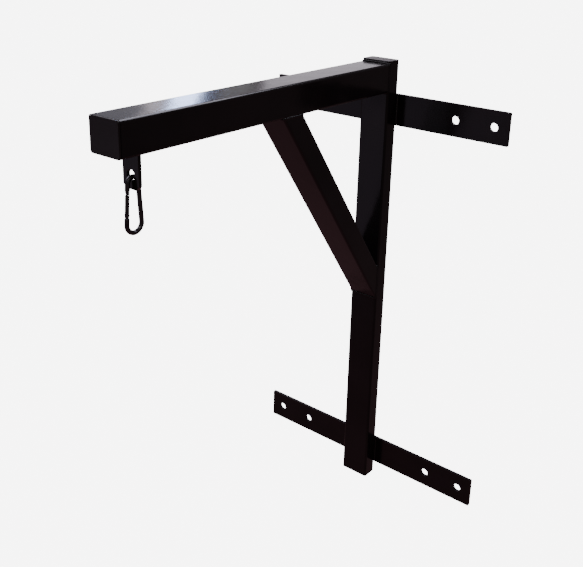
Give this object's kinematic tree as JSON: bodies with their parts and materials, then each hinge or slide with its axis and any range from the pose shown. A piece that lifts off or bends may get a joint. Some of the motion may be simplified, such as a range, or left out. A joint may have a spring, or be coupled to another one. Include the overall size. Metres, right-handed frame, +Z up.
{
  "type": "punch bag wall bracket",
  "caption": "Black steel wall bracket with a braced projecting arm, long bolt-on wall plates and a carabiner under the arm's tip for hanging a punch bag.",
  "frame": {"origin": "middle of the upper wall plate's back face, on the wall", "axes": "+Z up, +Y into the wall, +X to the right when facing the wall; the arm reaches out along -Y"},
  "size_m": [0.428, 0.5523, 0.741],
  "materials": {
    "black_gloss_paint": "smooth glossy black powder coat",
    "black_plastic": "satin black moulded plastic",
    "dark_plated_steel": "dark plated steel wire",
    "spring_steel": "bare spring steel"
  },
  "bodies": {
    "bracket": {"post_tube": "black_gloss_paint", "arm_tube": "black_gloss_paint", "brace_tube": "black_gloss_paint", "upper_wall_plate": "black_gloss_paint", "lower_wall_plate": "black_gloss_paint", "hanger_lug": "black_gloss_paint", "post_top_cap": "black_plastic", "post_bottom_cap": "black_plastic", "arm_end_cap": "black_plastic"},
    "carabiner": {"carabiner_body": "dark_plated_steel", "gate_hinge_rivet": "dark_plated_steel", "gate_latch_pin": "dark_plated_steel"},
    "gate": {"carabiner_gate": "dark_plated_steel", "gate_spring": "spring_steel"}
  },
  "joints": [
    {"name": "carabiner_swing", "type": "hinge", "parent": "bracket", "child": "carabiner", "pos_m": [0, -0.5153, -0.0005], "axis": [0, 1, 0], "range_deg": [-85, 85]},
    {"name": "gate_hinge", "type": "hinge", "parent": "carabiner", "child": "gate", "pos_m": [0, -0.52548, -0.04379], "axis": [-1, 0, 0], "range_deg": [0, 20], "stiffness_Nm_per_rad": 0.04, "springref_deg": -34.38}
  ]
}
